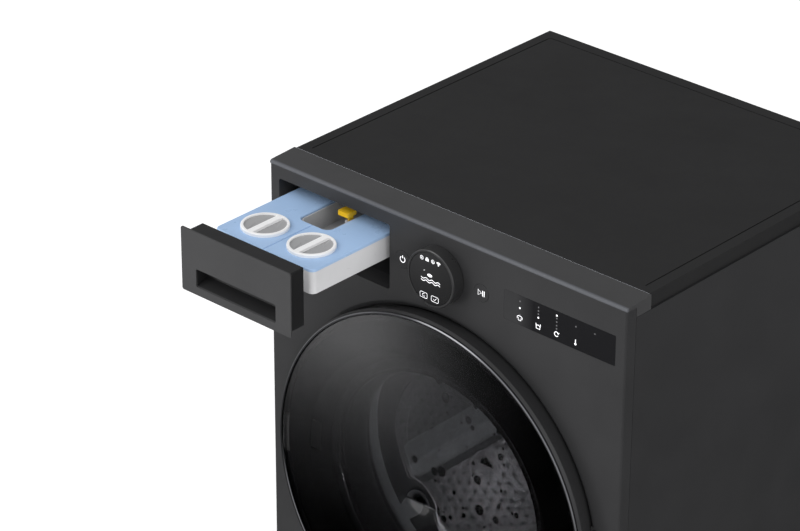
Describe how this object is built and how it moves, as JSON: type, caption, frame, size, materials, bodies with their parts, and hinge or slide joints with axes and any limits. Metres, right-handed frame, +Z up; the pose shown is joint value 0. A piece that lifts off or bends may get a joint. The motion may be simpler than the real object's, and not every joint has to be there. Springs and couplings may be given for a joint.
{
  "type": "front load washing machine",
  "caption": "Charcoal front load washing machine with a domed glass door, control dial and a pulled out detergent drawer with two capped tanks.",
  "frame": {"origin": "on the floor under the middle of the outline, with the detergent drawer pulled out", "axes": "+X to the right seen from the front, +Y to the back, +Z up"},
  "size_m": [0.6, 0.76, 0.85],
  "materials": {
    "charcoal_moulding": "fine satin grain",
    "charcoal_paint": "satin powder coat",
    "charcoal_top": "matt fine texture",
    "charcoal_button": "satin",
    "galvanised_sheet": "spangled zinc sheet",
    "dark_frame": "satin",
    "dark_plastic": "moulded",
    "gloss_black": "high gloss",
    "circuit_board": "lacquered board",
    "zinc_steel": "zinc plated",
    "spring_steel": "oiled steel",
    "grey_rubber": "matt",
    "black_rubber": "matt",
    "grey_plastic": "glass filled moulding",
    "white_plastic": "smooth",
    "cup_grey": "smooth moulding",
    "pale_blue": "smooth, slightly translucent",
    "amber_plastic": "smooth",
    "concrete": "cast concrete",
    "copper_winding": "lacquered copper",
    "heating_steel": "oxidised",
    "stainless": "rolled stainless",
    "cast_aluminium": "as cast",
    "polished_trim": "dark polished",
    "tinted_glass": "smoked",
    "clear_glass": "clear"
  },
  "bodies": {
    "cabinet": {"front_panel": "charcoal_moulding", "left_side_panel": "charcoal_paint", "right_side_panel": "charcoal_paint", "rear_panel": "galvanised_sheet", "rear_cover": "galvanised_sheet", "top_cap": "charcoal_moulding", "top_panel": "charcoal_top", "base_frame": "dark_frame", "dispenser_housing": "dark_plastic", "dial_display": "gloss_black", "option_window": "gloss_black", "control_board": "circuit_board", "hinge_bracket": "zinc_steel", "door_lock": "dark_plastic", "door_gasket": "grey_rubber", "suspension_springs": "spring_steel", "damper_cylinders": "zinc_steel", "drain_pump": "dark_plastic", "sump_hose": "black_rubber", "fill_hose": "black_rubber", "drain_hose": "grey_rubber", "drain_outlet": "grey_plastic", "inlet_valve": "white_plastic", "valve_hose": "black_rubber", "cord_gland": "dark_plastic"},
    "tub": {"tub_front": "grey_plastic", "tub_rear": "grey_plastic", "counterweights": "concrete", "bearings": "spring_steel", "motor_stator": "copper_winding", "damper_rods": "white_plastic", "heater": "heating_steel"},
    "drum": {"drum": "stainless", "lifters": "grey_plastic", "spider_and_shaft": "cast_aluminium", "motor_rotor": "zinc_steel"},
    "door": {"door_frame": "charcoal_moulding", "door_trim_ring": "polished_trim", "door_glass": "tinted_glass", "door_inner_frame": "dark_plastic", "door_bowl": "clear_glass", "door_hinge": "zinc_steel"},
    "door_hook": {"door_hook": "zinc_steel"},
    "drawer": {"drawer_front": "charcoal_moulding", "drawer_tray": "white_plastic", "manual_cup": "cup_grey", "left_tank_lid": "pale_blue", "right_tank_lid": "pale_blue"},
    "left_cap": {"left_tank_cap": "white_plastic"},
    "right_cap": {"right_tank_cap": "white_plastic"},
    "release_tab": {"release_tab": "amber_plastic"},
    "dial": {"dial_ring": "gloss_black"},
    "power_button": {"power_button": "charcoal_button"},
    "start_button": {"start_button": "charcoal_button"},
    "hatch": {"hatch_cover": "charcoal_moulding"},
    "filter": {"pump_filter": "cup_grey"},
    "foot_front_left": {"foot_front_left": "black_rubber"},
    "foot_front_right": {"foot_front_right": "black_rubber"},
    "foot_rear_left": {"foot_rear_left": "black_rubber"},
    "foot_rear_right": {"foot_rear_right": "black_rubber"}
  },
  "joints": [
    {"name": "tub_bounce", "type": "slide", "parent": "cabinet", "child": "tub", "axis": [0, 0, 1], "range_m": [-0.006, 0.006], "stiffness_N_per_m": 15000, "springref_m": 0.02019, "deforming": ["suspension_springs", "sump_hose", "fill_hose", "door_gasket"]},
    {"name": "drum_spin", "type": "hinge", "parent": "tub", "child": "drum", "pos_m": [0, -0.2, 0.465], "axis": [0, 1, 0], "continuous": true},
    {"name": "door_swing", "type": "hinge", "parent": "cabinet", "child": "door", "pos_m": [-0.252, -0.218, 0.465], "axis": [0, 0, -1], "range_deg": [0, 130]},
    {"name": "hook_swing", "type": "hinge", "parent": "door", "child": "door_hook", "pos_m": [0.238, -0.195, 0.465], "axis": [0, 0, 1], "range_deg": [-8, 0], "stiffness_Nm_per_rad": 0.6},
    {"name": "drawer_slide", "type": "slide", "parent": "cabinet", "child": "drawer", "axis": [0, -1, 0], "range_m": [-0.18, 0.02]},
    {"name": "left_cap_turn", "type": "hinge", "parent": "drawer", "child": "left_cap", "pos_m": [-0.2269, -0.284, 0.807], "axis": [0, 0, 1], "range_deg": [0, 90]},
    {"name": "right_cap_turn", "type": "hinge", "parent": "drawer", "child": "right_cap", "pos_m": [-0.1449, -0.284, 0.807], "axis": [0, 0, 1], "range_deg": [0, 90]},
    {"name": "tab_press", "type": "slide", "parent": "drawer", "child": "release_tab", "axis": [0, 0, -1], "range_m": [0, 0.003], "stiffness_N_per_m": 400, "springref_m": -0.001},
    {"name": "dial_turn", "type": "hinge", "parent": "cabinet", "child": "dial", "pos_m": [0, -0.2, 0.788], "axis": [0, 1, 0], "continuous": true},
    {"name": "power_press", "type": "slide", "parent": "cabinet", "child": "power_button", "axis": [0, 1, 0], "range_m": [0, 0.0015], "stiffness_N_per_m": 800},
    {"name": "start_press", "type": "slide", "parent": "cabinet", "child": "start_button", "axis": [0, 1, 0], "range_m": [0, 0.0015], "stiffness_N_per_m": 800},
    {"name": "hatch_fold", "type": "hinge", "parent": "cabinet", "child": "hatch", "pos_m": [-0.212, -0.196, 0.0665], "axis": [1, 0, 0], "range_deg": [0, 90]},
    {"name": "filter_turn", "type": "hinge", "parent": "cabinet", "child": "filter", "pos_m": [-0.212, -0.2, 0.097], "axis": [0, 1, 0], "range_deg": [-180, 0]},
    {"name": "foot_front_left_turn", "type": "hinge", "parent": "cabinet", "child": "foot_front_left", "pos_m": [-0.248, -0.145, 0], "axis": [0, 0, 1], "continuous": true},
    {"name": "foot_front_right_turn", "type": "hinge", "parent": "cabinet", "child": "foot_front_right", "pos_m": [0.248, -0.145, 0], "axis": [0, 0, 1], "continuous": true},
    {"name": "foot_rear_left_turn", "type": "hinge", "parent": "cabinet", "child": "foot_rear_left", "pos_m": [-0.248, 0.305, 0], "axis": [0, 0, 1], "continuous": true},
    {"name": "foot_rear_right_turn", "type": "hinge", "parent": "cabinet", "child": "foot_rear_right", "pos_m": [0.248, 0.305, 0], "axis": [0, 0, 1], "continuous": true}
  ]
}
